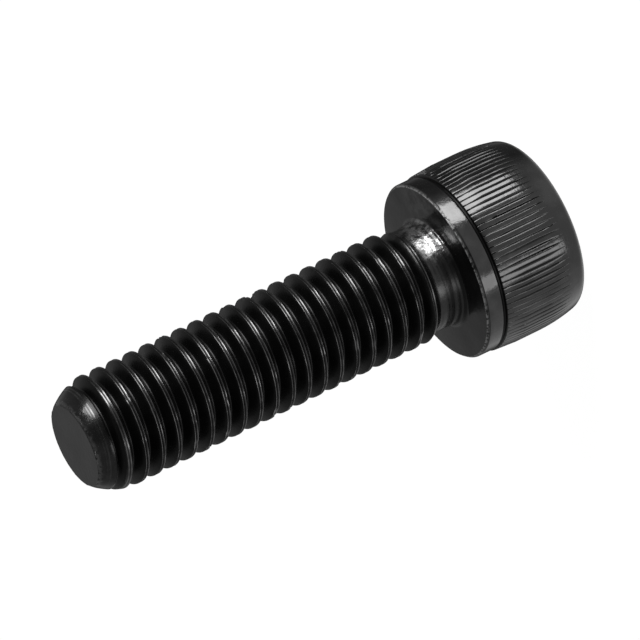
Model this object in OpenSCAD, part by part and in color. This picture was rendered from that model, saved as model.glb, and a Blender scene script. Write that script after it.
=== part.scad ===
// Hex socket cap screw: knurled cylindrical head, metric thread up to the head.
// The screw stands on its head. The origin is the centre of the bearing face,
// the shank runs along +Z and the socket opens towards -Z. Lengths are in mm.

/* [Thread] */
// Which way the thread winds
thread_hand = "left"; // [left, right]
// Diameter over the thread crests
thread_d = 7.97; // [7:0.01:9]
// Distance from one crest to the next
pitch = 1.25; // [1:0.05:1.5]
// Width of the flat along a crest
crest_w = 0.26; // [0.12:0.02:0.36]
// Width of the flat along a root
root_w = 0.12; // [0.08:0.02:0.28]
// Angle between the two flanks
flank_angle = 60; // [55:1:60]

/* [Shank] */
// Length from the bearing face to the flat end
shank_len = 28; // [16:1:36]
// Plain neck between the bearing face and the thread's last trace
neck_len = 0.9; // [0.7:0.1:2]
// Length over which the thread fades out towards the neck
runout_len = 1.8; // [1:0.1:3]
// Distance from the flat end to the groove's first trace on the point
runin_end = 0.4; // [0.3:0.1:1]
// Length over which the groove deepens from there
runin_len = 0.9; // [0.5:0.1:2]
// Radius of the fillet between the neck and the bearing face
neck_fillet = 0.4; // [0.1:0.05:0.6]
// Length over which the point draws in
point_len = 3.2; // [1.6:0.1:4]
// How far the point draws in from the crests
point_step = 1.1; // [0.5:0.1:1.5]
// Fullness of the point's curve, from a straight cone at 1 to a round one
point_curve = 2.2; // [1:0.1:3]
// Radius of the rounded rim between the point's curve and the flat end
point_round = 0.15; // [0.05:0.05:0.4]

/* [Head] */
// Diameter over the knurl
head_d = 12.94; // [12:0.02:14]
// Height from the bearing face to the crown
head_h = 8; // [7:0.1:10]
// Radial width of the chamfer round the bearing face
rim_w = 0.15; // [0.05:0.01:0.3]
// Height of that chamfer
rim_h = 0.2; // [0.1:0.02:0.6]
// Length of the plain band between the bearing face and the knurl
band_len = 1.45; // [0.8:0.05:2]
// Radius of the slight bulge that draws the head in towards the crown
bulge_r = 11.8; // [8:0.1:20]
// Length of that bulge, with the rounded crown edge
bulge_len = 3.2; // [2:0.1:4]
// Radius of the rounded crown edge
crown_r = 0.7; // [0.3:0.1:1.2]

/* [Knurl] */
// Number of ridges round the head
knurl_count = 96; // [60:1:120]
// Depth of a groove between two ridges
knurl_depth = 0.14; // [0.08:0.01:0.3]
// Width of a groove at the top
groove_w = 0.27; // [0.12:0.01:0.32]
// How far the plain band lies below the grooves
band_drop = 0.07; // [0.01:0.01:0.1]
// Height that the knurl has at its first edge, above the band
knurl_edge = 0.1; // [0.04:0.01:0.15]
// Length over which the knurl rises from there to its full diameter
knurl_rise = 1.6; // [0.5:0.1:2.5]
// Width of the narrow groove between the band and the knurl
relief_w = 0.24; // [0.08:0.02:0.4]
// Depth of that groove below the band
relief_d = 0.08; // [0.04:0.01:0.15]

/* [Socket] */
// Width across the flats
socket_af = 6; // [5:0.1:7]
// Depth of the flats
socket_depth = 4.4; // [3:0.1:5]
// Depth of the shallow cone in the socket's floor
floor_depth = 0.8; // [0.3:0.1:1.2]
// Plain ledge between the flats and the floor's cone
floor_ledge = 0.15; // [0.05:0.05:0.4]
// Diameter of the flat in the middle of the floor
floor_flat = 1.2; // [0.4:0.1:2]
// Width of the chamfer beyond the corners at the mouth
mouth_w = 0.12; // [0.05:0.01:0.3]

/* [Hidden] */
$fn = 144;
// Sides in one turn of the thread
SIDES = 48;
// Points along the thread's section in one pitch
ROWS = 4;
// Straight pieces in a rounded edge
ARC_STEPS = 6;
// Overlap of one cut or solid into another
SINK = 0.3;
// How far the neck stands proud of the blank in the thread's run-out
NECK_STEP = 0.06;
// How far the point's curve ends outside the crests
POINT_LIFT = 0.06;
// Straight pieces in the point's curve
POINT_STEPS = 10;
// The way round in which the thread climbs
WAY = thread_hand == "left" ? -1 : 1;

thread_depth = (pitch - crest_w - root_w) / (2 * tan(flank_angle / 2));
crest_rad = thread_d / 2;
root_rad = crest_rad - thread_depth;
// The shank before rolling, which shows at the neck
blank_rad = (crest_rad + root_rad) / 2;
// The neck ends in a cone that runs out into the blank
neck_rad = blank_rad + NECK_STEP;
point_rad = crest_rad - point_step;
head_rad = head_d / 2;
groove_rad = head_rad - knurl_depth;
band_rad = groove_rad - band_drop;
bearing_rad = band_rad - rim_w;
corner_rad = socket_af / 2 / cos(30);

function mix(a, b, t) = a + (b - a) * t;
function clamp01(t) = min(max(t, 0), 1);
// Points of an arc from angle a0 to a1 round (cx, cy), from its given step on
function arc(cx, cy, r, a0, a1, steps = ARC_STEPS, first = 0) =
    [for (i = [first:steps]) let (a = mix(a0, a1, i / steps)) [cx + r * cos(a), cy + r * sin(a)]];

// Thread: a grid of points that climbs one pitch a turn.

// Height of each row of points within one pitch, and its radius at full depth
row_z = [-crest_w / 2, crest_w / 2, (pitch - root_w) / 2, (pitch + root_w) / 2];
row_rad = [crest_rad, crest_rad, root_rad, root_rad];
rod_start = -pitch - SINK;
rod_rows = ROWS * ceil((shank_len + SINK - rod_start) / pitch) + 1;

function grid_z(j, i) = rod_start + pitch * (floor(j / ROWS) + i / SIDES) + row_z[j % ROWS];
// The section fades to the blank towards the neck, and its groove runs out on the point
function grid_rad(j, z) = mix(blank_rad,
    mix(crest_rad, row_rad[j % ROWS], clamp01((shank_len - runin_end - z) / runin_len)),
    clamp01((z - neck_len) / runout_len));
function grid_point(j, i) =
    let (z = grid_z(j, i), r = grid_rad(j, z), a = WAY * 360 * i / SIDES) [r * cos(a), r * sin(a), z];
// One turn on, a row meets the row that lies a pitch above
function at(j, i) = i == SIDES ? at(j + ROWS, 0)
    : j < rod_rows ? j * SIDES + i : rod_rows * SIDES + j - rod_rows;
// The loop round an end: one turn of row j and the step back down
function end_loop(j) = concat([for (i = [0:SIDES]) at(j, i)], [for (k = [ROWS - 1:-1:0]) at(j + k, 0)]);
// Faces look outwards whichever way the thread winds
function outward(faces) = WAY > 0 ? faces : [for (f = faces) [f[2], f[1], f[0]]];

module threaded_rod() {
    grid = [for (j = [0:rod_rows - 1]) for (i = [0:SIDES - 1]) grid_point(j, i)];
    seam = [for (j = [rod_rows:rod_rows + ROWS - 1]) grid_point(j, 0)];
    ends = [[0, 0, grid_z(0, SIDES)], [0, 0, grid_z(rod_rows - 1, 0)]];
    low = len(grid) + len(seam);
    bottom = end_loop(0);
    top = end_loop(rod_rows - 1);
    polyhedron(
        points = concat(grid, seam, ends),
        faces = outward(concat(
            [for (j = [0:rod_rows - 2]) for (i = [0:SIDES - 1]) each [
                [at(j, i), at(j + 1, i), at(j + 1, i + 1)],
                [at(j, i), at(j + 1, i + 1), at(j, i + 1)]]],
            [for (k = [0:len(bottom) - 2]) [low, bottom[k], bottom[k + 1]]],
            [for (k = [0:len(top) - 2]) [low + 1, top[k + 1], top[k]]])));
}

// What the point's curve, its rounded rim and the flat end leave of the rod
function point_reach(u) = crest_rad + POINT_LIFT - (point_step + POINT_LIFT) * pow(1 - u, point_curve);

module point_limit() {
    turn = atan((point_step + POINT_LIFT) * point_curve / point_len);
    curve = [for (i = [POINT_STEPS:-1:1])
        let (u = i / POINT_STEPS) [point_reach(u), shank_len - point_len * u]];
    rotate_extrude() polygon(concat(
        [[0, rod_start - SINK], [crest_rad + SINK, rod_start - SINK],
         [crest_rad + SINK, shank_len - point_len]],
        curve,
        arc(point_rad - point_round * (1 - sin(turn)) / cos(turn), shank_len - point_round,
            point_round, turn, 90, 3),
        [[0, shank_len]]));
}

module shank() {
    intersection() {
        threaded_rod();
        point_limit();
    }
}

// Outline of head and neck, from the neck's end down to the crown
module head_outline() {
    bulge_z = bulge_len - head_h;
    turn = asin((bulge_len - crown_r) / (bulge_r - crown_r));
    bulge_x = head_rad - bulge_r;
    polygon(concat(
        [[0, neck_len + NECK_STEP], [neck_rad - 2 * NECK_STEP, neck_len + NECK_STEP],
         [neck_rad, neck_len - 3 * NECK_STEP]],
        arc(neck_rad + neck_fillet, neck_fillet, neck_fillet, 180, 270),
        [[bearing_rad, 0], [band_rad, -rim_h], [band_rad, relief_w - band_len],
         [band_rad - relief_d, relief_w / 2 - band_len], [band_rad - relief_d, -band_len],
         [band_rad + knurl_edge, -band_len - knurl_edge / 2],
         [head_rad, -band_len - knurl_rise]],
        arc(bulge_x, bulge_z, bulge_r, 0, -turn),
        arc(bulge_x + (bulge_r - crown_r) * cos(turn), crown_r - head_h, crown_r, -turn, -90, first = 1),
        [[0, -head_h]]));
}

// Everything outside a star whose inner corners are the bottoms of the grooves
module knurl_grooves() {
    half = 180 / knurl_count;
    tip_rad = groove_rad / (cos(half) - sin(half) * 2 * knurl_depth / groove_w);
    translate([0, 0, -head_h - SINK])
        linear_extrude(head_h + SINK - band_len / 2)
            difference() {
                circle(r = head_rad + 1);
                polygon([for (i = [0:2 * knurl_count - 1])
                    let (r = i % 2 == 0 ? groove_rad : tip_rad) [r * cos(half * i), r * sin(half * i)]]);
            }
}

module hex_socket() {
    mouth_rad = corner_rad + mouth_w;
    cone_h = mouth_rad - socket_af / 2 + SINK;
    ledge_rad = socket_af / 2 - floor_ledge;
    flat_rad = floor_flat / 2;
    translate([0, 0, -head_h]) {
        translate([0, 0, -SINK])
            cylinder(h = socket_depth + SINK, r = corner_rad, $fn = 6);
        translate([0, 0, -SINK])
            cylinder(h = cone_h + SINK, r1 = mouth_rad + SINK, r2 = mouth_rad - cone_h);
        translate([0, 0, socket_depth - SINK])
            cylinder(h = floor_depth + SINK, r1 = ledge_rad + SINK * (ledge_rad - flat_rad) / floor_depth,
                     r2 = flat_rad);
    }
}

module cap_screw() {
    color([0.09, 0.09, 0.095]) union() {
        difference() {
            rotate_extrude() head_outline();
            knurl_grooves();
            hex_socket();
        }
        shank();
    }
}

cap_screw();
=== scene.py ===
"""Hex socket cap screw: rolled thread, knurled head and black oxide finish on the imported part."""
import math

import bmesh
import bpy
from mathutils import Matrix, Vector


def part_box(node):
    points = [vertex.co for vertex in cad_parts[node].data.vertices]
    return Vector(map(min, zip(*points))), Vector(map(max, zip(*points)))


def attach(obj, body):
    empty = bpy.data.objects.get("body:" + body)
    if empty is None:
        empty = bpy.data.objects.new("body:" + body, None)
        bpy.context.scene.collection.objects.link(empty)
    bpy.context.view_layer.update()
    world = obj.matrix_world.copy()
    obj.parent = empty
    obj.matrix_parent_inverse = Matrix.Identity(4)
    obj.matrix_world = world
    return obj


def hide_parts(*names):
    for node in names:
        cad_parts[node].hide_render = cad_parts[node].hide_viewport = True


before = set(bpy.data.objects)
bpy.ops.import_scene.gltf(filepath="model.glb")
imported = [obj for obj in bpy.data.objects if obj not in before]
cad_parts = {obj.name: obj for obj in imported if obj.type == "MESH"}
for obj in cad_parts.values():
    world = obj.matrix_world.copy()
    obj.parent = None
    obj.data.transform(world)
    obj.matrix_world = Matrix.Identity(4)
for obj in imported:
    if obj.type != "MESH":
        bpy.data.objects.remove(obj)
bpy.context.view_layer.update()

bl_info = {
    "name": "Hex Socket Cap Screw",
    "version": (1, 0, 0),
    "blender": (4, 5, 0),
    "location": "3D View > Sidebar > Cap Screw",
    "description": "Builds a knurled hex socket cap screw with a rolled thread",
    "category": "Add Mesh",
}

NODE = "cap_screw"
BODY = "root"
MM = 0.001
LOW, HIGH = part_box(NODE)
# The bearing face is the frame's origin, so the box gives length and height
SHANK_LENGTH = HIGH[2]
HEAD_HEIGHT = -LOW[2]
HEAD_DIAMETER = HIGH[0] - LOW[0]

# Points closer than this become one
WELD = 0.5e-6
# Edges with a larger angle between their faces stay crisp
CRISP = math.radians(38)
# Longest steps along the thread's section and along the head's outline
SECTION_STEP = 0.2 * MM
OUTLINE_STEP = 0.3 * MM
# How far the neck stands proud of the blank in the thread's run-out
NECK_STEP = 0.06 * MM
# Scales of the noise, in waves per metre
WORN_LIPS, NICKS, RAGGED_RIM = 1900.0, 900.0, 2300.0
UNEVEN_GROOVES, WAVERING_GROOVES = 1500.0, 1100.0
PATCHES, BROKEN_OXIDE, SCUFFS, RINGS, FORGING = 600.0, 4200.0, 1500.0, 6500.0, 260.0


def length(name, description, default):
    return bpy.props.FloatProperty(name=name, description=description, default=default,
                                   unit="LENGTH", precision=5)


def number(name, description, default):
    return bpy.props.FloatProperty(name=name, description=description, default=default, precision=4)


def angle(name, description, degrees):
    return bpy.props.FloatProperty(name=name, description=description, default=math.radians(degrees),
                                   subtype="ANGLE")


def count(name, description, default):
    return bpy.props.IntProperty(name=name, description=description, default=default, min=3)


def colour(name, description, default):
    return bpy.props.FloatVectorProperty(name=name, description=description, default=default,
                                         subtype="COLOR", size=3)


# Sizes


class ThreadSizes(bpy.types.PropertyGroup):
    left_hand: bpy.props.BoolProperty(
        name="Left-hand", description="Wind the thread the left-hand way", default=True)
    crest_diameter: length("Crest diameter", "Diameter over the crests", 7.97 * MM)
    pitch: length("Pitch", "Distance from crest to crest", 1.25 * MM)
    crest_width: length("Crest width", "Width of a crest over its two lips", 0.24 * MM)
    root_width: length("Root width", "Width of the flat along a root", 0.12 * MM)
    flank_angle: angle("Flank angle", "Angle between the two flanks", 60)
    lip_radius: length("Lip radius", "Rounding of the two lips of a rolled crest", 0.05 * MM)
    seam_depth: length("Seam depth", "Depth of the seam that rolling leaves along a crest", 0.10 * MM)
    root_radius: length("Root radius", "Rounding in a root", 0.1 * MM)
    lip_wear: length("Lip wear", "How unevenly the lips are worn down", 0.016 * MM)
    nick_depth: length("Nick depth", "Depth of the nicks in the crests", 0.05 * MM)
    ragged_depth: length("Ragged depth", "How deep the flat end's ragged rim is broken", 0.09 * MM)
    start: length("Start", "Height of a crest at the thread's zero angle", 0.95 * MM)
    low_end: length("Low end", "Height of the shank's end inside the head", -1.0 * MM)
    neck_length: length("Neck length", "Plain neck under the head", 0.9 * MM)
    runout_length: length("Run-out length", "Length over which the thread fades to the neck", 1.8 * MM)
    runin_end: length("Run-in end", "Distance from the flat end to the groove's first trace", 0.4 * MM)
    runin_length: length("Run-in length", "Length over which the groove deepens from there", 0.9 * MM)
    point_length: length("Point length", "Length over which the point draws in", 3.2 * MM)
    point_step: length("Point step", "How far the point draws in from the crests", 1.1 * MM)
    point_lift: length("Point lift", "How far the point's curve ends outside the crests", 0.06 * MM)
    point_curve: number("Point curve", "Fullness of the point, from a straight cone at 1 to a round one", 2.2)
    point_radius: length("Point rounding", "Rounding of the flat end's rim", 0.1 * MM)
    sides: count("Sides", "Sides in one turn", 132)


class HeadSizes(bpy.types.PropertyGroup):
    bearing_step: length("Bearing step", "Radial width of the chamfer round the bearing face", 0.15 * MM)
    bearing_chamfer: length("Bearing chamfer", "Height of that chamfer", 0.2 * MM)
    edge_radius: length("Edge rounding", "Rounding of the band's edges", 0.08 * MM)
    neck_fillet: length("Neck fillet", "Fillet between neck and bearing face", 0.4 * MM)
    band_length: length("Band length", "Plain band between the bearing face and the knurl", 1.45 * MM)
    band_drop: length("Band drop", "How far the plain band lies below the grooves", 0.07 * MM)
    knurl_edge: length("Knurl edge", "Height of the knurl at its first edge", 0.1 * MM)
    knurl_rise: length("Knurl rise", "Length over which the knurl rises to its full diameter", 1.6 * MM)
    knurl_count: count("Knurl ridges", "Number of ridges round the head", 96)
    knurl_depth: length("Knurl depth", "Depth of a groove", 0.14 * MM)
    groove_width: length("Groove width", "Width of a groove at the top", 0.17 * MM)
    knurl_waver: length("Knurl waver", "How far the grooves waver from side to side", 0.05 * MM)
    shallowest: number("Shallowest", "Share of the full depth that the shallowest groove has", 0.4)
    deepest: number("Deepest", "Share of the full depth that the deepest groove has", 0.85)
    ledge_length: length("Ledge length", "Length below the band where every groove is full", 0.5 * MM)
    relief_width: length("Relief width", "Width of the narrow groove between band and knurl", 0.24 * MM)
    relief_depth: length("Relief depth", "Depth of that groove", 0.08 * MM)
    bulge_radius: length("Bulge radius", "Radius of the slight bulge towards the crown", 11.8 * MM)
    bulge_length: length("Bulge length", "Length of the bulge with the crown edge", 3.2 * MM)
    crown_radius: length("Crown radius", "Rounding of the crown edge", 0.7 * MM)
    socket_flats: length("Socket flats", "Width across the flats of the socket", 6.0 * MM)
    socket_depth: length("Socket depth", "Depth of the flats", 4.4 * MM)
    floor_depth: length("Floor depth", "Depth of the shallow cone in the floor", 0.8 * MM)
    floor_ledge: length("Floor ledge", "Ledge between the flats and the floor's cone", 0.15 * MM)
    floor_flat: length("Floor flat", "Diameter of the flat in the middle of the floor", 1.2 * MM)
    mouth_width: length("Mouth width", "Chamfer beyond the corners at the mouth", 0.12 * MM)


class FinishValues(bpy.types.PropertyGroup):
    oxide: colour("Oxide", "Colour of the black oxide", (0.036, 0.036, 0.036))
    worn: colour("Worn oxide", "Colour where the oxide is thin", (0.060, 0.060, 0.060))
    # The steel colour also paints the highlights on the lips, the rims and the neck's lit side
    steel: colour("Steel", "Colour where the oxide has broken away", (0.30, 0.30, 0.30))
    thread_roughness: number("Thread roughness", "Roughness of the oiled oxide on the thread", 0.12)
    head_roughness: number("Head roughness", "Roughness of the oiled oxide on the head", 0.105)
    grain_height: length("Grain height", "Height of the grain and the dimples under the oxide", 0.010 * MM)
    # The side of the neck that gets scuffs with a painted highlight; the rest of the neck gets painted shade
    highlight_side: angle("Scuff side", "Direction of the side on which the dies have scuffed the neck", 32)


class StudioValues(bpy.types.PropertyGroup):
    elevation: angle("Elevation", "Height of the view above the bearing face's plane", 21.8)
    azimuth: angle("Azimuth", "Direction of the view round the screw", -13.7)
    screw_turn: angle("Screw turn", "Direction of the screw's point in the picture", 205.75)
    picture_scale: number("Picture scale", "Picture pixels for one millimetre at the bearing face", 15.17)
    distance: length("Distance", "Distance of the camera from the bearing face", 500 * MM)
    bearing_x: number("Bearing X", "Bearing face's centre in the picture, from the left", 435.0)
    bearing_y: number("Bearing Y", "Bearing face's centre in the picture, from the top", 272.0)
    floor_glow: number("Floor glow", "Brightness of the floor in the picture", 1.09)
    floor_share: number("Floor share", "Share of that glow in the floor; the rest is lit and shaded", 0.9)
    surround: number("Surround", "Brightness of the white surround at its bright side", 0.95)
    shade: number("Shade", "Brightness of the surround at its other side", 0.27)
    gap: number("Gap", "Share of the surround's light that is left far behind the screw", 0.10)
    front: number("Front", "Share of the surround's light that is left round the camera", 0.4)
    above: number("Above", "Share of the surround's light that is left above and behind the screw", 0.2)
    key_side: angle("Key side", "Direction of the bright tall box from the camera's", 58)
    fill_side: angle("Fill side", "Direction of the other tall box from the camera's, the other way", 40)
    key_strength: number("Key", "Brightness of the tall box on the lit side", 12.5)
    fill_strength: number("Fill", "Brightness of the tall box on the other side", 4.0)


# Geometry node helper


class Fields:
    """Adds math nodes to a tree, so that a formula reads as one."""

    def __init__(self, tree):
        self.tree = tree

    def node(self, kind, **settings):
        n = self.tree.nodes.new(kind)
        for key, value in settings.items():
            setattr(n, key, value)
        return n

    def link(self, value, socket):
        if isinstance(value, bpy.types.NodeSocket):
            self.tree.links.new(value, socket)
        elif value is not None:
            socket.default_value = value

    def math(self, operation, a, b=None, clamp=False):
        n = self.node("ShaderNodeMath", operation=operation, use_clamp=clamp)
        self.link(a, n.inputs[0])
        self.link(b, n.inputs[1])
        return n.outputs[0]

    def add(self, a, b):
        return self.math("ADD", a, b)

    def sub(self, a, b):
        return self.math("SUBTRACT", a, b)

    def mul(self, a, b):
        return self.math("MULTIPLY", a, b)

    def div(self, a, b):
        return self.math("DIVIDE", a, b)

    def share(self, a, b):
        """A part of a whole, held between zero and one."""
        return self.math("DIVIDE", a, b, clamp=True)

    def least(self, a, b):
        return self.math("MINIMUM", a, b)

    def most(self, a, b):
        return self.math("MAXIMUM", a, b)

    def mix(self, a, b, t):
        return self.add(a, self.mul(self.sub(b, a), t))

    def noise(self, scale, detail, where=None, roughness=0.55):
        n = self.node("ShaderNodeTexNoise", noise_dimensions="3D")
        self.link(where, n.inputs["Vector"])
        self.link(scale, n.inputs["Scale"])
        n.inputs["Detail"].default_value = detail
        n.inputs["Roughness"].default_value = roughness
        return n.outputs["Fac"]

    def blend(self, a, b, t):
        """Mixes two colours."""
        n = self.node("ShaderNodeMix", data_type="RGBA")
        self.link(t, n.inputs["Factor"])
        self.link(a, n.inputs["A"])
        self.link(b, n.inputs["B"])
        return n.outputs["Result"]

    def ramp(self, value, low, high):
        """Zero up to low, one from high on, and smooth between."""
        n = self.node("ShaderNodeMapRange", interpolation_type="SMOOTHSTEP")
        self.link(value, n.inputs["Value"])
        self.link(low, n.inputs["From Min"])
        self.link(high, n.inputs["From Max"])
        return n.outputs["Result"]

    def vector(self, x=None, y=None, z=None):
        n = self.node("ShaderNodeCombineXYZ")
        for value, socket in zip((x, y, z), n.inputs):
            self.link(value, socket)
        return n.outputs[0]

    def polar(self):
        """Position split into x, y, z and the distance from the axis."""
        split = self.node("ShaderNodeSeparateXYZ")
        self.link(self.node("GeometryNodeInputPosition").outputs[0], split.inputs[0])
        x, y, z = split.outputs
        return x, y, z, self.math("SQRT", self.add(self.mul(x, x), self.mul(y, y)))

    def place(self, mesh, x, y, z, old_radius, radius):
        """Moves each point to a new distance from the axis and a new height."""
        ratio = self.div(radius, old_radius)
        n = self.node("GeometryNodeSetPosition")
        self.link(mesh, n.inputs["Geometry"])
        self.link(self.vector(self.mul(x, ratio), self.mul(y, ratio), z), n.inputs["Position"])
        return n.outputs[0]

    def stored(self, mesh, name, value, domain="POINT"):
        n = self.node("GeometryNodeStoreNamedAttribute", data_type="FLOAT", domain=domain)
        self.link(mesh, n.inputs["Geometry"])
        n.inputs["Name"].default_value = name
        self.link(value, n.inputs["Value"])
        return n.outputs[0]

    def attribute(self, name):
        n = self.node("GeometryNodeInputNamedAttribute", data_type="FLOAT")
        n.inputs["Name"].default_value = name
        return n.outputs[0]

    def weld(self, mesh):
        n = self.node("GeometryNodeMergeByDistance")
        self.link(mesh, n.inputs["Geometry"])
        self.link(WELD, n.inputs["Distance"])
        return n.outputs[0]


def node_tree(name, sizes):
    """An empty geometry tree with one named input for each size."""
    tree = bpy.data.node_groups.new(name, "GeometryNodeTree")
    tree.interface.new_socket("Geometry", in_out="INPUT", socket_type="NodeSocketGeometry")
    for label, kind in sizes:
        tree.interface.new_socket(label, in_out="INPUT", socket_type=kind)
    tree.interface.new_socket("Geometry", in_out="OUTPUT", socket_type="NodeSocketGeometry")
    given = tree.nodes.new("NodeGroupInput")
    return tree, Fields(tree), given.outputs


def finish_tree(tree, f, mesh, material):
    realize = f.node("GeometryNodeRealizeInstances")
    f.link(mesh, realize.inputs[0])
    painted = f.node("GeometryNodeSetMaterial")
    f.link(realize.outputs[0], painted.inputs["Geometry"])
    painted.inputs["Material"].default_value = material
    out = f.node("NodeGroupOutput")
    f.link(painted.outputs[0], out.inputs[0])


def grown(name, mesh, tree, values):
    """Runs a tree on a mesh and returns the plain mesh that it grows into."""
    obj = bpy.data.objects.new(name, mesh)
    bpy.context.scene.collection.objects.link(obj)
    modifier = obj.modifiers.new(tree.name, "NODES")
    modifier.node_group = tree
    for item in tree.interface.items_tree:
        if item.item_type == "SOCKET" and item.in_out == "INPUT" and item.name in values:
            modifier[item.identifier] = values[item.name]
    depsgraph = bpy.context.evaluated_depsgraph_get()
    result = bpy.data.meshes.new_from_object(obj.evaluated_get(depsgraph), depsgraph=depsgraph)
    result.name = name
    obj.modifiers.remove(modifier)
    bpy.data.objects.remove(obj)
    return result


# Outlines


def arc(centre, radius, start, end, steps):
    """Points of an arc, angles in degrees."""
    points = []
    for i in range(steps + 1):
        a = math.radians(start + (end - start) * i / steps)
        points.append((centre[0] + radius * math.cos(a), centre[1] + radius * math.sin(a)))
    return points


def rounded(points, radii, steps=3):
    """An open outline with its inner corners rounded."""
    out = [Vector(points[0])]
    for before, corner, after, radius in zip(points, points[1:], points[2:], radii):
        corner = Vector(corner)
        back = Vector(before) - corner
        ahead = Vector(after) - corner
        half = back.angle(ahead) / 2
        reach = min(radius / math.tan(half), 0.45 * back.length, 0.45 * ahead.length) if radius else 0
        if reach == 0:
            out.append(corner)
            continue
        start, end = corner + back.normalized() * reach, corner + ahead.normalized() * reach
        for i in range(steps + 1):
            t = i / steps
            out.append((1 - t) ** 2 * start + 2 * t * (1 - t) * corner + t * t * end)
    out.append(Vector(points[-1]))
    return out


def filled_in(points, gap):
    """The outline with points added so that no step is longer than gap."""
    out = [points[0]]
    for a, b in zip(points, points[1:]):
        pieces = max(1, math.ceil((b - a).length / gap - 1e-6))
        out += [a.lerp(b, i / pieces) for i in range(1, pieces + 1)]
    return out


# Thread


def thread_section(s):
    """One pitch of the section as (radius, height), from the seam in a crest to the next one."""
    crest = s.crest_diameter / 2
    flat, root = s.crest_width / 2, s.root_width / 2
    depth = (s.pitch / 2 - flat - root) / math.tan(s.flank_angle / 2)
    bottom = crest - depth
    seam = crest - s.seam_depth
    points = [(seam, 0), (crest, flat), (bottom, s.pitch / 2 - root),
              (bottom, s.pitch / 2 + root), (crest, s.pitch - flat), (seam, s.pitch)]
    section = rounded(points, [s.lip_radius, s.root_radius, s.root_radius, s.lip_radius])
    # Rounding lowers the lips, so the section is drawn out until they reach the crest's diameter again
    reach = (crest - bottom) / (max(p[0] for p in section) - bottom)
    section = [Vector((bottom + (p[0] - bottom) * reach, p[1])) for p in section]
    return filled_in(section, SECTION_STEP), bottom


# Where a lip's bright line lies and how wide it is, and where the seam ends, as shares of the crest's width
LIP_PLACE, LIP_SPREAD, SEAM_END = 0.38, 0.11, 0.3
# How much painted shade the roots get, where the seam gets 1
ROOT_SHADE = 0.8


def one_turn(s):
    """A ribbon that carries the section once round the axis while it climbs one pitch."""
    section, bottom = thread_section(s)
    way = -1 if s.left_hand else 1
    bm = bmesh.new()
    painted_shade_layer = bm.verts.layers.float.new("painted_shade")
    lip_layer = bm.verts.layers.float.new("lip")
    grid = []
    for r, z in section:
        row = []
        # Shade is painted into the seam and the roots; the lips between them stay bright
        off = min(z, s.pitch - z) / s.crest_width
        lip = math.exp(-((off - LIP_PLACE) / LIP_SPREAD) ** 2)
        painted_shade = (1 - lip) * (1.0 if off < SEAM_END else ROOT_SHADE)
        for i in range(s.sides + 1):
            a = way * 2 * math.pi * i / s.sides
            vert = bm.verts.new((r * math.cos(a), r * math.sin(a), z + s.pitch * i / s.sides))
            vert[painted_shade_layer], vert[lip_layer] = painted_shade, lip
            row.append(vert)
        grid.append(row)
    for low, high in zip(grid, grid[1:]):
        for i in range(s.sides):
            bm.faces.new((low[i], low[i + 1], high[i + 1], high[i]))
    mesh = bpy.data.meshes.new("thread_turn")
    bm.to_mesh(mesh)
    bm.free()
    return mesh, bottom


THREAD_LENGTHS = (
    "Pitch", "First Height", "Crest Radius", "Blank Radius", "Low End", "Length", "Neck Length",
    "Run-out Length", "Run-in End", "Run-in Length", "Point Length", "Point Step", "Point Lift",
    "Point Curve", "Rim Rounding", "Lip Wear", "Nick Depth", "Ragged Depth")
# Depth below the crests to which wear and nicks reach
LIP_REACH = 0.09 * MM
# Distances from the flat end at which the ragged zone starts, is full and starts to end
RAGGED_START, RAGGED_FULL, RAGGED_END = 0.3 * MM, 0.12 * MM, 0.03 * MM
# How far the oxide is worn in that zone, which also paints a highlight on the ragged rim
RAGGED_WEAR_AND_HIGHLIGHT = 0.3


def stacked_turns(f, given):
    """Copies of one turn, a pitch apart, welded into one mesh."""
    line = f.node("GeometryNodeMeshLine", mode="OFFSET")
    f.link(given["Turns"], line.inputs["Count"])
    f.link(f.vector(z=given["First Height"]), line.inputs["Start Location"])
    f.link(f.vector(z=given["Pitch"]), line.inputs["Offset"])
    stack = f.node("GeometryNodeInstanceOnPoints")
    f.link(line.outputs[0], stack.inputs["Points"])
    f.link(given["Geometry"], stack.inputs["Instance"])
    whole = f.node("GeometryNodeRealizeInstances")
    f.link(stack.outputs[0], whole.inputs[0])
    return f.weld(whole.outputs[0])


def point_radius(f, given, height):
    """Radius on the point's curve and its rounded rim, and the radius of the flat end."""
    crest, end, rho = given["Crest Radius"], given["Length"], given["Rim Rounding"]
    drawn = f.add(given["Point Step"], given["Point Lift"])
    along = f.share(f.sub(end, height), given["Point Length"])
    left = f.math("POWER", f.sub(1.0, along), given["Point Curve"])
    curve = f.sub(f.add(crest, given["Point Lift"]), f.mul(drawn, left))
    turn = f.math("ARCTANGENT", f.div(f.mul(drawn, given["Point Curve"]), given["Point Length"]))
    inset = f.div(f.mul(rho, f.sub(1.0, f.math("SINE", turn))), f.math("COSINE", turn))
    flat = f.sub(f.sub(crest, given["Point Step"]), inset)
    over = f.most(f.sub(height, f.sub(end, rho)), 0.0)
    rim = f.add(flat, f.math("SQRT", f.most(f.sub(f.mul(rho, rho), f.mul(over, over)), 0.0)))
    on_rim = f.math("GREATER_THAN", over, f.mul(rho, f.math("SINE", turn)))
    return f.mix(curve, rim, on_rim), flat


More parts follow.
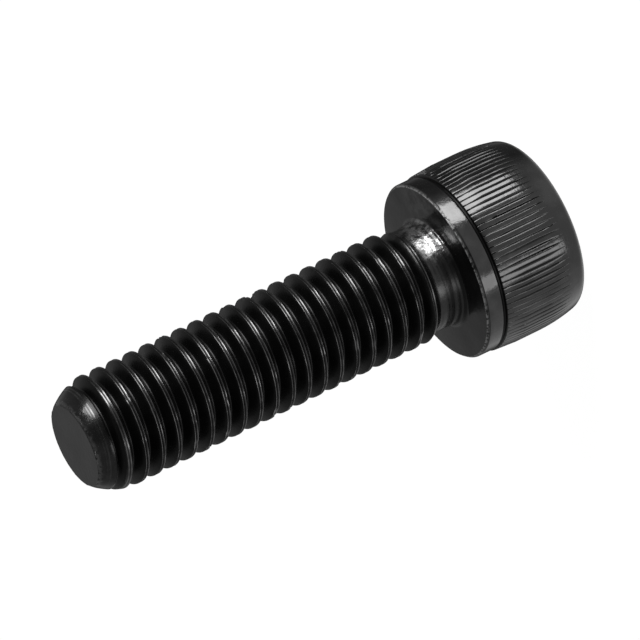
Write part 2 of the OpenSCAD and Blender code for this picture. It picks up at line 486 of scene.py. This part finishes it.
def thread_tree(material):
    """Stacks the turns, fades them out at the neck and cuts them to the point."""
    sizes = [(name, "NodeSocketFloat") for name in THREAD_LENGTHS]
    sizes += [("Turns", "NodeSocketInt"), ("Sides", "NodeSocketInt")]
    tree, f, given = node_tree("Rolled Thread", sizes)
    mesh = stacked_turns(f, given)
    crest, end = given["Crest Radius"], given["Length"]
    x, y, z, r = f.polar()
    height = f.most(f.least(z, end), given["Low End"])
    # Lips are worn unevenly and nicked in a few places
    uneven = f.noise(WORN_LIPS, 2.0)
    nick = f.ramp(f.noise(NICKS, 1.0), 0.66, 0.70)
    loss = f.add(f.mul(uneven, given["Lip Wear"]), f.mul(nick, given["Nick Depth"]))
    worn = f.sub(r, f.mul(f.ramp(r, f.sub(crest, LIP_REACH), crest), loss))
    # The groove deepens behind the point, and the section fades to the blank at the neck
    deep = f.share(f.sub(f.sub(end, given["Run-in End"]), height), given["Run-in Length"])
    rise = f.share(f.sub(height, given["Neck Length"]), given["Run-out Length"])
    full = f.mix(given["Blank Radius"], f.mix(crest, worn, deep), f.math("POWER", rise, 3.0))
    # The point is drawn in, and the rim of its flat end is ragged
    profile, flat = point_radius(f, given, height)
    near = f.mul(f.ramp(height, f.sub(end, RAGGED_START), f.sub(end, RAGGED_FULL)),
                 f.ramp(height, end, f.sub(end, RAGGED_END)))
    ragged = f.mul(f.mul(near, f.ramp(f.noise(RAGGED_RIM, 3.0), 0.35, 0.65)), given["Ragged Depth"])
    radius = f.sub(f.least(full, profile), ragged)
    # The lips get worn oxide with a painted highlight, and there is neither painted shade nor painted
    # highlight where the thread fades out
    there = f.mul(deep, rise)
    worn_lip_highlight = f.mul(f.mul(f.attribute("lip"), there), f.mix(0.3, 1.0, f.ramp(uneven, 0.38, 0.62)))
    mesh = f.stored(mesh, "worn_lip_highlight", worn_lip_highlight)
    mesh = f.stored(mesh, "painted_shade", f.mul(f.attribute("painted_shade"), there))
    mesh = f.stored(mesh, "wear_and_highlight", f.mul(near, RAGGED_WEAR_AND_HIGHLIGHT))
    mesh = f.stored(mesh, "turned", f.sub(1.0, rise))
    mesh = f.weld(f.place(mesh, x, y, height, r, radius))

    # Discs close both ends
    joined = f.node("GeometryNodeJoinGeometry")
    f.link(mesh, joined.inputs[0])
    for level, size in ((end, flat), (given["Low End"], given["Blank Radius"])):
        disc = f.node("GeometryNodeMeshCircle", fill_type="NGON")
        f.link(given["Sides"], disc.inputs["Vertices"])
        f.link(size, disc.inputs["Radius"])
        moved = f.node("GeometryNodeTransform")
        f.link(disc.outputs[0], moved.inputs["Geometry"])
        f.link(f.vector(z=level), moved.inputs["Translation"])
        f.link(moved.outputs[0], joined.inputs[0])
    finish_tree(tree, f, f.weld(joined.outputs[0]), material)
    return tree


# Head


# Rounding of each corner from the neck's fillet down to the knurl, in edge roundings
CORNER_SHARES = (1, 1.5, 0.4, 0.4, 0.4, 0.5, 8)


def head_rows(h, blank, neck_end):
    """Outline of the head as (radius, height) from the neck's end to the socket's mouth."""
    neck_radius = blank + NECK_STEP
    head, top = HEAD_DIAMETER / 2, -HEAD_HEIGHT
    groove = head - h.knurl_depth
    band = groove - h.band_drop
    bearing = band - h.bearing_step
    bulge_x, bulge_z = head - h.bulge_radius, top + h.bulge_length
    turn = math.degrees(math.asin((h.bulge_length - h.crown_radius) / (h.bulge_radius - h.crown_radius)))
    crown_x = bulge_x + (h.bulge_radius - h.crown_radius) * math.cos(math.radians(turn))
    mouth = h.socket_flats / 2 / math.cos(math.radians(30)) + h.mouth_width
    neck = [(blank - 0.1 * MM, neck_end + NECK_STEP), (neck_radius, neck_end - 3 * NECK_STEP)]
    neck += arc((neck_radius + h.neck_fillet, h.neck_fillet), h.neck_fillet, 180, 270, 8)
    relief = -h.band_length + h.relief_width
    edges = [(bearing, 0), (band, -h.bearing_chamfer), (band, relief),
             (band - h.relief_depth, (relief - h.band_length) / 2), (band - h.relief_depth, -h.band_length),
             (band + h.knurl_edge, -h.band_length - h.knurl_edge / 2),
             (head, -h.band_length - h.knurl_rise)]
    radii = [share * h.edge_radius for share in CORNER_SHARES]
    corners = filled_in(rounded([neck[-1]] + edges + [(head, bulge_z)], radii)[1:-1], OUTLINE_STEP)
    bulge = arc((bulge_x, bulge_z), h.bulge_radius, 0, -turn, 14)
    crown = arc((crown_x, top + h.crown_radius), h.crown_radius, -turn, -90, 10)[1:]
    end = [(mouth + 0.08 * MM, top), (mouth + 0.02 * MM, top + 0.015 * MM),
           (mouth - 0.03 * MM, top + 0.06 * MM)]
    return [Vector(p) for p in neck] + corners + [Vector(p) for p in bulge + crown + end]


def column_angles(h, radius, groove):
    """Angles of a half ridge's columns, from the bottom of a groove to the middle of a ridge."""
    half = math.pi / h.knurl_count
    head = HEAD_DIAMETER / 2
    depth = min(max(radius - groove, 0.15 * h.knurl_depth), h.knurl_depth)
    edge = h.groove_width / 2 * depth / h.knurl_depth / head
    return [0.0, 0.12 * edge, 0.88 * edge, edge + 0.1 * (half - edge), edge + 0.45 * (half - edge), half]


# How deep each column lies, as a share of the groove's depth
COLUMN_CUT = [1.0, 0.93, 0.12, 0.03, 0.0, 0.0]
# Length over which the grooves rise from the band to their own bottom
TEETH_LENGTH = 0.4 * MM
# Height of a groove's bottom above the band at the ledge, and the play in telling where a row lies
CLEAR = 0.01 * MM
# The most painted shade that a knurl groove gets, and the share of the full depth from which it does
GROOVE_SHADE, SHADE_DEPTH = 0.85, 0.4
# The worn rim, which also gets a painted highlight, lies between these distances inside the band, down to
# this depth
RIM_INNER, RIM_OUTER, RIM_DEPTH = 0.18 * MM, 0.06 * MM, 0.13 * MM
# The neck lies at least this far inside the band, from this height on
NECK_INSET, NECK_FOOT = 1.5 * MM, 0.05 * MM
# How much of the turning marks the bearing face has, where the neck has 1
FACE_TURNING = 0.15


def row_marks(h, band, r, z):
    """Whether a row lies in the relief groove and on the worn rim, and how much it shows the turning; the
    groove gets painted shade and the rim a painted highlight.
    """
    relief_middle = h.relief_width / 2 - h.band_length
    in_relief = r < band - CLEAR and abs(z - relief_middle) < 0.6 * h.relief_width
    on_rim = band - RIM_INNER < r < band - RIM_OUTER and z > -RIM_DEPTH
    on_neck = r < band - NECK_INSET and z > NECK_FOOT
    return in_relief, on_rim, 1.0 if on_neck else FACE_TURNING if z > -CLEAR else 0.0


def one_ridge(h, rows, groove):
    """One groove with half a ridge on each side, all the way along the head."""
    bm = bmesh.new()
    layers = [bm.verts.layers.float.new(name) for name in ("cut", "painted_shade", "wear_and_highlight", "turned")]
    band = groove - h.band_drop
    grid = []
    for r, z in rows:
        # Near the band the grooves reach almost down to it, so that the ridges end in a row of teeth
        depth = min(1, max(0, (-h.band_length - z) / TEETH_LENGTH))
        bottom = groove - (h.band_drop - CLEAR) * (1 - depth)
        grooved = r > bottom and z < -h.band_length
        angles = column_angles(h, r if grooved else 0, bottom)
        shares = COLUMN_CUT if grooved else [0.0] * len(angles)
        sides = [(-a, c) for a, c in zip(angles[:0:-1], shares[:0:-1])] + list(zip(angles, shares))
        in_relief, on_rim, turned = row_marks(h, band, r, z)
        row = []
        for a, share in sides:
            cut = share * max(r - bottom, 0)
            # Deeper parts of a knurl groove get painted shade, and the relief groove gets it in full
            painted_shade = 1.0 if in_relief else min(GROOVE_SHADE, cut / (SHADE_DEPTH * h.knurl_depth))
            vert = bm.verts.new(((r - cut) * math.cos(a), (r - cut) * math.sin(a), z))
            for layer, value in zip(layers, (cut, painted_shade, float(on_rim), turned)):
                vert[layer] = value
            row.append(vert)
        grid.append(row)
    for high, low in zip(grid, grid[1:]):
        for i in range(len(high) - 1):
            bm.faces.new((low[i], low[i + 1], high[i + 1], high[i]))
    mesh = bpy.data.meshes.new("knurl_ridge")
    bm.to_mesh(mesh)
    bm.free()
    return mesh


# The grooves' waver sets in between these heights below the ledge, and ends between these radii on the crown
WAVER_START, WAVER_FULL = -1.7 * MM, -2.2 * MM
WAVER_INNER, WAVER_OUTER = 4.0 * MM, 5.5 * MM
# The grooves change less along the screw than across
STRETCH = (1.0, 1.0, 0.35)


def knurl_tree(material):
    """Repeats the ridge round the head, with grooves that differ a little as rolled ones do."""
    tree, f, given = node_tree("Knurled Head", [
        ("Ridges", "NodeSocketInt"), ("Shallowest", "NodeSocketFloat"), ("Deepest", "NodeSocketFloat"),
        ("Waver", "NodeSocketFloat"), ("Ledge", "NodeSocketFloat"), ("Seed", "NodeSocketInt")])
    points = f.node("GeometryNodePoints")
    f.link(given["Ridges"], points.inputs["Count"])
    ring = f.node("GeometryNodeInstanceOnPoints")
    f.link(points.outputs[0], ring.inputs["Points"])
    f.link(given["Geometry"], ring.inputs["Instance"])
    index = f.node("GeometryNodeInputIndex").outputs[0]
    turn = f.mul(index, f.div(2 * math.pi, given["Ridges"]))
    f.link(f.vector(z=turn), ring.inputs["Rotation"])
    chance = f.node("FunctionNodeRandomValue", data_type="FLOAT")
    f.link(given["Shallowest"], chance.inputs[2])
    f.link(given["Deepest"], chance.inputs[3])
    f.link(given["Seed"], chance.inputs["Seed"])
    whole = f.node("GeometryNodeRealizeInstances")
    f.link(f.stored(ring.outputs[0], "depth", chance.outputs[1], "INSTANCE"), whole.inputs[0])

    # Grooves differ in depth from each other and along their length, and waver a little
    stretched = f.node("ShaderNodeVectorMath", operation="MULTIPLY")
    f.link(f.node("GeometryNodeInputPosition").outputs[0], stretched.inputs[0])
    f.link(STRETCH, stretched.inputs[1])
    uneven = f.ramp(f.noise(UNEVEN_GROOVES, 2.0, stretched.outputs[0]), 0.3, 0.62)
    x, y, z, r = f.polar()
    at_ledge = f.ramp(z, given["Ledge"], f.add(given["Ledge"], 0.4 * MM))
    share = f.mix(f.mul(f.attribute("depth"), f.mix(0.45, 1.0, uneven)), 1.0, at_ledge)
    radius = f.add(r, f.mul(f.attribute("cut"), f.sub(1.0, share)))
    grooved = f.mul(f.ramp(z, WAVER_START, WAVER_FULL), f.ramp(r, WAVER_INNER, WAVER_OUTER))
    sideways = f.sub(f.noise(WAVERING_GROOVES, 1.0, stretched.outputs[0]), 0.5)
    waver = f.mul(sideways, f.mul(f.div(given["Waver"], r), grooved))
    moved = f.place(whole.outputs[0], f.sub(x, f.mul(y, waver)), f.add(y, f.mul(x, waver)), z, r, radius)
    finish_tree(tree, f, f.weld(moved), material)
    return tree


def socket_mesh(h, first_ring):
    """The hex socket, from the mouth's chamfer down to the flat in the floor."""
    top, apothem = -HEAD_HEIGHT, h.socket_flats / 2
    mouth, mouth_z = first_ring
    floor = top + h.socket_depth
    half = column_angles(h, 0, HEAD_DIAMETER)
    step = 2 * math.pi / h.knurl_count
    angles = [k * step + a for k in range(h.knurl_count) for a in [-a for a in half[:0:-1]] + half[:-1]]
    bm = bmesh.new()
    grid = []
    for a in angles:
        hexagon = apothem / math.cos(a % (math.pi / 3) - math.pi / 6)
        column = [(mouth, mouth_z), (hexagon, mouth_z + mouth - hexagon),
                  (hexagon, (top + floor) / 2), (hexagon, floor - 0.05 * MM), (hexagon - 0.05 * MM, floor),
                  (apothem - h.floor_ledge, floor), (h.floor_flat / 2, floor + h.floor_depth)]
        grid.append([bm.verts.new((r * math.cos(a), r * math.sin(a), z)) for r, z in column])
    for left, right in zip(grid, grid[1:] + grid[:1]):
        for i in range(len(left) - 1):
            bm.faces.new((left[i], left[i + 1], right[i + 1], right[i]))
    bm.faces.new([column[-1] for column in grid])
    mesh = bpy.data.meshes.new("socket")
    bm.to_mesh(mesh)
    bm.free()
    return mesh


def finished_piece(name, meshes, material):
    """Joins meshes into one closed piece with smooth faces and crisp edges."""
    bm = bmesh.new()
    for mesh in meshes:
        bm.from_mesh(mesh)
    bmesh.ops.remove_doubles(bm, verts=bm.verts, dist=WELD)
    bmesh.ops.dissolve_degenerate(bm, edges=bm.edges, dist=0.2e-6)
    # The end that lies inside the other piece is closed too
    bmesh.ops.holes_fill(bm, edges=[e for e in bm.edges if e.is_boundary], sides=0)
    bmesh.ops.recalc_face_normals(bm, faces=bm.faces)
    open_edges = sum(not e.is_manifold for e in bm.edges)
    for face in bm.faces:
        face.smooth = True
        face.material_index = 0
    for edge in bm.edges:
        # Only the flat ends have faces with so many corners
        flat = any(len(face.verts) > 8 for face in edge.link_faces)
        edge.smooth = edge.calc_face_angle(0) < CRISP and not flat
    mesh = bpy.data.meshes.new(name)
    bm.to_mesh(mesh)
    bm.free()
    mesh.materials.clear()
    mesh.materials.append(material)
    obj = bpy.data.objects.new(name, mesh)
    bpy.context.scene.collection.objects.link(obj)
    triangles = sum(len(p.vertices) - 2 for p in mesh.polygons)
    print(f"{name}: {triangles} triangles, {open_edges} open edges")
    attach(obj, BODY)
    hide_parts(NODE)
    return obj


# Finish


# Painted shade in the grooves, the seam, the roots and on the neck is nearly black and reflects almost
# nothing
PAINTED_SHADE_COLOUR = (0.002, 0.002, 0.002, 1)
# Cosines from the highlight side at which the scuffs and their painted highlight start and are full
HIGHLIGHT_SIDE_EDGE, HIGHLIGHT_SIDE_FULL = 0.7, 0.95
# How much steel colour the worn lips and the scuffs get, which also paints highlights there, and how much
# painted shade the rest of the neck gets
LIP_HIGHLIGHT_STEEL, SCUFF_HIGHLIGHT_STEEL, NECK_PAINTED_SHADE = 0.42, 0.9, 0.6
# Heights of the rings on turned faces, the scuffs and the forging's waves, in grain heights
RING_HEIGHT, SCUFF_HEIGHT, WAVE_HEIGHT = 1.6, 6.0, 6.0
OXIDE_INPUTS = {
    "Oxide": "NodeSocketColor", "Worn": "NodeSocketColor", "Steel": "NodeSocketColor",
    "Roughness": "NodeSocketFloat", "Grain Scale": "NodeSocketFloat", "Turning": "NodeSocketFloat",
    "Highlight Side": "NodeSocketFloat"}
OXIDE_OUTPUTS = {"Color": "NodeSocketColor", "Roughness": "NodeSocketFloat", "Height": "NodeSocketFloat"}


def oxide_group():
    """Node group for black oxide: patchy tone, uneven gloss and the fine grain of the steel under it, with
    painted shade and painted highlights.
    """
    tree = bpy.data.node_groups.new("Black Oxide Surface", "ShaderNodeTree")
    for kinds, way in ((OXIDE_INPUTS, "INPUT"), (OXIDE_OUTPUTS, "OUTPUT")):
        for name, kind in kinds.items():
            tree.interface.new_socket(name, in_out=way, socket_type=kind)
    f = Fields(tree)
    given = f.node("NodeGroupInput").outputs
    where = f.node("ShaderNodeTexCoord").outputs["Object"]
    painted_shade, wear_and_highlight, worn_lip_highlight, turned = (f.node("ShaderNodeAttribute", attribute_name=name).outputs["Fac"]
                                 for name in ("painted_shade", "wear_and_highlight", "worn_lip_highlight", "turned"))
    patches = f.ramp(f.noise(PATCHES, 4.0, where), 0.38, 0.66)
    grain = f.noise(given["Grain Scale"], 3.0, where, 0.6)
    specks = f.ramp(grain, 0.66, 0.8)
    scuffs = f.noise(SCUFFS, 3.0, where, 0.65)

    # One side of the neck is scuffed and gets a painted highlight, and the rest of the neck gets painted
    # shade
    split = f.node("ShaderNodeSeparateXYZ")
    f.link(where, split.inputs[0])
    x, y, z = split.outputs
    radius = f.math("SQRT", f.add(f.mul(x, x), f.mul(y, y)))
    side_x, side_y = f.math("COSINE", given["Highlight Side"]), f.math("SINE", given["Highlight Side"])
    facing = f.div(f.add(f.mul(x, side_x), f.mul(y, side_y)), radius)
    scuffed_highlight_side = f.mul(turned, f.ramp(facing, HIGHLIGHT_SIDE_EDGE, HIGHLIGHT_SIDE_FULL))
    painted_shade = f.most(painted_shade, f.mul(f.sub(turned, scuffed_highlight_side), NECK_PAINTED_SHADE))

    # Steel colour shows in places along the worn edges, on the lips and in the scuffs, as wear and as painted
    # highlight
    bare = f.mul(wear_and_highlight, f.ramp(f.noise(BROKEN_OXIDE, 3.0, where), 0.36, 0.56))
    bare = f.most(bare, f.mul(worn_lip_highlight, LIP_HIGHLIGHT_STEEL))
    bare = f.most(bare, f.mul(f.mul(scuffed_highlight_side, f.ramp(scuffs, 0.40, 0.60)), SCUFF_HIGHLIGHT_STEEL))
    tone = f.math("ADD", f.mul(patches, 0.45), f.mul(specks, 0.4), clamp=True)
    colour = f.blend(f.blend(given["Oxide"], given["Worn"], tone), given["Steel"], bare)
    # Painted shade darkens the colour to near black
    colour = f.blend(colour, PAINTED_SHADE_COLOUR, f.mul(painted_shade, 0.95))

    # Painted shade, breaks and scuffs are duller, and the lips are polished
    rough = f.add(given["Roughness"], f.add(f.mul(patches, 0.07), f.mul(f.sub(grain, 0.5), 0.10)))
    rough = f.add(rough, f.mul(f.most(painted_shade, f.mul(wear_and_highlight, bare)), 0.25))
    rough = f.add(f.sub(rough, f.mul(worn_lip_highlight, 0.05)), f.mul(scuffed_highlight_side, 0.08))

    # Dimples and grain, rings from turning, scuffs, and slow waves, because nothing forged is quite flat
    height = f.mix(f.noise(f.mul(given["Grain Scale"], 0.4), 2.0, where), grain, 0.25)
    rings = f.noise(RINGS, 3.0, f.vector(x=radius, z=z))
    height = f.add(height, f.mul(rings, f.most(given["Turning"], f.mul(turned, RING_HEIGHT))))
    height = f.add(height, f.mul(f.mul(scuffs, scuffed_highlight_side), SCUFF_HEIGHT))
    height = f.add(height, f.mul(f.noise(FORGING, 1.0, where), WAVE_HEIGHT))
    out = f.node("NodeGroupOutput")
    for name, value in (("Color", colour), ("Roughness", rough), ("Height", height)):
        f.link(value, out.inputs[name])
    return tree


def oxide_material(name, values, roughness, grain_scale, turning):
    material = bpy.data.materials.new(name)
    material.use_nodes = True
    f = Fields(material.node_tree)
    shader = material.node_tree.nodes["Principled BSDF"]
    # The oxide is a dark film on metal
    shader.inputs["Metallic"].default_value = 0.93
    surface = f.node("ShaderNodeGroup")
    surface.node_tree = bpy.data.node_groups.get("Black Oxide Surface") or oxide_group()
    for socket, value in {
            "Oxide": (*values.oxide, 1), "Worn": (*values.worn, 1), "Steel": (*values.steel, 1),
            "Roughness": roughness, "Grain Scale": grain_scale, "Turning": turning,
            "Highlight Side": values.highlight_side}.items():
        surface.inputs[socket].default_value = value
    bump = f.node("ShaderNodeBump")
    bump.inputs["Strength"].default_value = 1.0
    bump.inputs["Distance"].default_value = values.grain_height
    f.link(surface.outputs["Height"], bump.inputs["Height"])
    f.link(surface.outputs["Color"], shader.inputs["Base Color"])
    f.link(surface.outputs["Roughness"], shader.inputs["Roughness"])
    f.link(bump.outputs["Normal"], shader.inputs["Normal"])
    return material


# Operators


class CAPSCREW_OT_shank(bpy.types.Operator):
    """Build the threaded shank with its point"""
    bl_idname = "capscrew.shank"
    bl_label = "Threaded Shank"

    def execute(self, context):
        s, values = context.scene.cap_thread, context.scene.cap_finish
        material = oxide_material("oxide_thread", values, values.thread_roughness,
                                  grain_scale=9000.0, turning=0.0)
        turn, bottom = one_turn(s)
        crest = s.crest_diameter / 2
        # The stack starts a turn below the low end, and a crest lies at the start height
        first = s.start - s.pitch * (math.ceil((s.start - s.low_end) / s.pitch) + 1)
        mesh = grown("thread", turn, thread_tree(material), {
            "Pitch": s.pitch, "First Height": first, "Crest Radius": crest,
            "Blank Radius": (crest + bottom) / 2, "Low End": s.low_end, "Length": SHANK_LENGTH,
            "Neck Length": s.neck_length, "Run-out Length": s.runout_length, "Run-in End": s.runin_end,
            "Run-in Length": s.runin_length, "Point Length": s.point_length, "Point Step": s.point_step,
            "Point Lift": s.point_lift, "Point Curve": s.point_curve, "Rim Rounding": s.point_radius,
            "Lip Wear": s.lip_wear, "Nick Depth": s.nick_depth, "Ragged Depth": s.ragged_depth,
            "Turns": math.ceil((SHANK_LENGTH - first) / s.pitch) + 1, "Sides": s.sides})
        finished_piece("threaded_shank", [mesh], material)
        return {"FINISHED"}


class CAPSCREW_OT_head(bpy.types.Operator):
    """Build the knurled head with its neck and hex socket"""
    bl_idname = "capscrew.head"
    bl_label = "Knurled Head"

    def execute(self, context):
        s, h, values = context.scene.cap_thread, context.scene.cap_head, context.scene.cap_finish
        material = oxide_material("oxide_head", values, values.head_roughness,
                                  grain_scale=7000.0, turning=0.3)
        blank = (s.crest_diameter / 2 + thread_section(s)[1]) / 2
        groove = HEAD_DIAMETER / 2 - h.knurl_depth
        rows = head_rows(h, blank, s.neck_length)
        ring = grown("knurl", one_ridge(h, rows, groove), knurl_tree(material), {
            "Ridges": h.knurl_count, "Shallowest": h.shallowest, "Deepest": h.deepest,
            "Waver": h.knurl_waver * 2, "Ledge": -h.band_length - h.ledge_length, "Seed": 3})
        finished_piece("knurled_head", [ring, socket_mesh(h, rows[-1])], material)
        return {"FINISHED"}


class CAPSCREW_OT_studio(bpy.types.Operator):
    """Set the pale floor, the white surround, two tall soft boxes and the camera"""
    bl_idname = "capscrew.studio"
    bl_label = "Studio"

    def execute(self, context):
        v = context.scene.cap_studio
        make_floor(v)
        make_surround(v)
        tall_box("key", v.azimuth + v.key_side, low=-0.16, high=0.24, width=0.17, strength=v.key_strength)
        tall_box("fill", v.azimuth - v.fill_side, low=-0.24, high=0.06, width=0.10, strength=v.fill_strength)
        make_camera(v)
        return {"FINISHED"}


def view_axes(v):
    """The level sideways axis, the level axis to the camera and the picture's up before the roll."""
    out = Vector((math.cos(v.azimuth), math.sin(v.azimuth), 0))
    side = Vector((0, 0, 1)).cross(out)
    up = Vector((0, 0, math.cos(v.elevation))) - out * math.sin(v.elevation)
    return side, out, up


def picture_axes(v):
    """The picture's right and up, and the direction to the camera."""
    side, out, up = view_axes(v)
    towards = out * math.cos(v.elevation) + Vector((0, 0, math.sin(v.elevation)))
    # The level view is rolled until the shank points where the picture has it
    roll = v.screw_turn - math.pi / 2
    return side * math.cos(roll) - up * math.sin(roll), side * math.sin(roll) + up * math.cos(roll), towards


# Half the picture's width and height in pixels
HALF_PICTURE = 320


def make_camera(v):
    right, up, towards = picture_axes(v)
    camera = bpy.data.cameras.new("camera")
    camera.sensor_fit = "HORIZONTAL"
    camera.angle = 2 * math.atan(HALF_PICTURE / v.picture_scale * MM / v.distance)
    camera.clip_start, camera.clip_end = 0.01, 5
    obj = bpy.data.objects.new("camera", camera)
    shift_x = (v.bearing_x - HALF_PICTURE) / v.picture_scale * MM
    shift_y = (HALF_PICTURE - v.bearing_y) / v.picture_scale * MM
    place = Matrix((right, up, towards)).transposed().to_4x4()
    place.translation = towards * v.distance - right * shift_x - up * shift_y
    obj.matrix_world = place
    bpy.context.scene.collection.objects.link(obj)
    bpy.context.scene.camera = obj


def make_floor(v, half=1.5):
    """A wide pale floor, white to the camera."""
    corners = [(x * half, y * half, LOW[2]) for x, y in ((-1, -1), (1, -1), (1, 1), (-1, 1))]
    mesh = bpy.data.meshes.new("floor")
    mesh.from_pydata(corners, [], [(0, 1, 2, 3)])
    obj = bpy.data.objects.new("floor", mesh)
    bpy.context.scene.collection.objects.link(obj)
    material = bpy.data.materials.new("floor_white")
    material.use_nodes = True
    f = Fields(material.node_tree)
    nodes = material.node_tree.nodes
    nodes.clear()
    path = f.node("ShaderNodeLightPath").outputs
    seen = f.most(f.mul(path["Is Camera Ray"], v.floor_share), path["Is Glossy Ray"])
    seen = f.most(seen, path["Is Transmission Ray"])
    diffuse = f.node("ShaderNodeBsdfDiffuse")
    diffuse.inputs["Color"].default_value = (0.8, 0.8, 0.8, 1)
    glow = f.node("ShaderNodeEmission")
    glow.inputs["Strength"].default_value = v.floor_glow
    mixed = f.node("ShaderNodeMixShader")
    f.link(seen, mixed.inputs[0])
    f.link(diffuse.outputs[0], mixed.inputs[1])
    f.link(glow.outputs[0], mixed.inputs[2])
    f.link(mixed.outputs[0], f.node("ShaderNodeOutputMaterial").inputs[0])
    mesh.materials.append(material)
    # The screw's upright sides reflect the surround, also below the floor's level
    obj.visible_glossy = False
    obj.visible_shadow = False


def make_surround(v):
    """A white surround that is bright at the screw's head end, greyer at its point and dim far behind it."""
    world = bpy.data.worlds.new("surround")
    bpy.context.scene.world = world
    world.use_nodes = True
    f = Fields(world.node_tree)
    background = world.node_tree.nodes["Background"]
    background.inputs["Color"].default_value = (1, 1, 1, 1)
    direction = f.node("ShaderNodeTexCoord").outputs["Generated"]

    def along(axis):
        n = f.node("ShaderNodeVectorMath", operation="DOT_PRODUCT")
        f.link(direction, n.inputs[0])
        f.link(tuple(axis), n.inputs[1])
        return n.outputs["Value"]

    right, up, towards = picture_axes(v)
    level = f.mix(v.shade, v.surround, f.ramp(along(right), -0.1, 0.6))
    # Dim parts: their middle, the cosines at which they start and are full, and the share of light left
    for middle, start, full, left in (
            (-towards, 0.84, 0.99, v.gap),
            (towards, 0.78, 0.95, v.front),
            (up * 0.8 - right * 0.19 - towards * 0.57, 0.80, 0.96, v.above),
            (towards * 0.83 - right * 0.5 - up * 0.24, 0.88, 0.98, v.front)):
        level = f.mul(level, f.mix(1.0, left, f.ramp(along(middle.normalized()), start, full)))
    seen = f.node("ShaderNodeLightPath").outputs["Is Camera Ray"]
    f.link(f.mix(level, 1.0, seen), background.inputs["Strength"])


def tall_box(name, azimuth, low, high, width, strength, distance=0.30):
    """An upright soft box from one height to another, as tall as the reflections along the screw need."""
    light = bpy.data.lights.new(name, "AREA")
    light.shape = "RECTANGLE"
    light.size, light.size_y = width, high - low
    # Area lights give power; this one is set by the brightness of its face
    light.energy = strength * math.pi * light.size * light.size_y
    obj = bpy.data.objects.new(name, light)
    towards = Vector((math.cos(azimuth), math.sin(azimuth), 0))
    rotation = towards.to_track_quat("Z", "Y").to_matrix().to_4x4()
    rotation.translation = towards * distance + Vector((0, 0, (low + high) / 2))
    obj.matrix_world = rotation
    bpy.context.scene.collection.objects.link(obj)


class CAPSCREW_PT_panel(bpy.types.Panel):
    """The screw's pieces and studio in the sidebar"""
    bl_idname = "CAPSCREW_PT_panel"
    bl_label = "Cap Screw"
    bl_space_type = "VIEW_3D"
    bl_region_type = "UI"
    bl_category = "Cap Screw"

    def draw(self, context):
        for operator in OPERATORS:
            self.layout.operator(operator.bl_idname)
        for group, owner in GROUPS.items():
            box = self.layout.box()
            for key in owner.__annotations__:
                box.prop(getattr(context.scene, group), key)


GROUPS = {"cap_thread": ThreadSizes, "cap_head": HeadSizes, "cap_finish": FinishValues,
          "cap_studio": StudioValues}
OPERATORS = (CAPSCREW_OT_shank, CAPSCREW_OT_head, CAPSCREW_OT_studio)


def register():
    for cls in (*GROUPS.values(), *OPERATORS, CAPSCREW_PT_panel):
        bpy.utils.register_class(cls)
    for name, cls in GROUPS.items():
        setattr(bpy.types.Scene, name, bpy.props.PointerProperty(type=cls))


def unregister():
    for name in GROUPS:
        delattr(bpy.types.Scene, name)
    for cls in (CAPSCREW_PT_panel, *reversed(OPERATORS), *GROUPS.values()):
        bpy.utils.unregister_class(cls)


def main():
    register()
    scene = bpy.context.scene
    scene.view_settings.view_transform = "Standard"
    bpy.ops.capscrew.shank()
    bpy.ops.capscrew.head()
    bpy.ops.capscrew.studio()


if __name__ == "__main__":
    main()
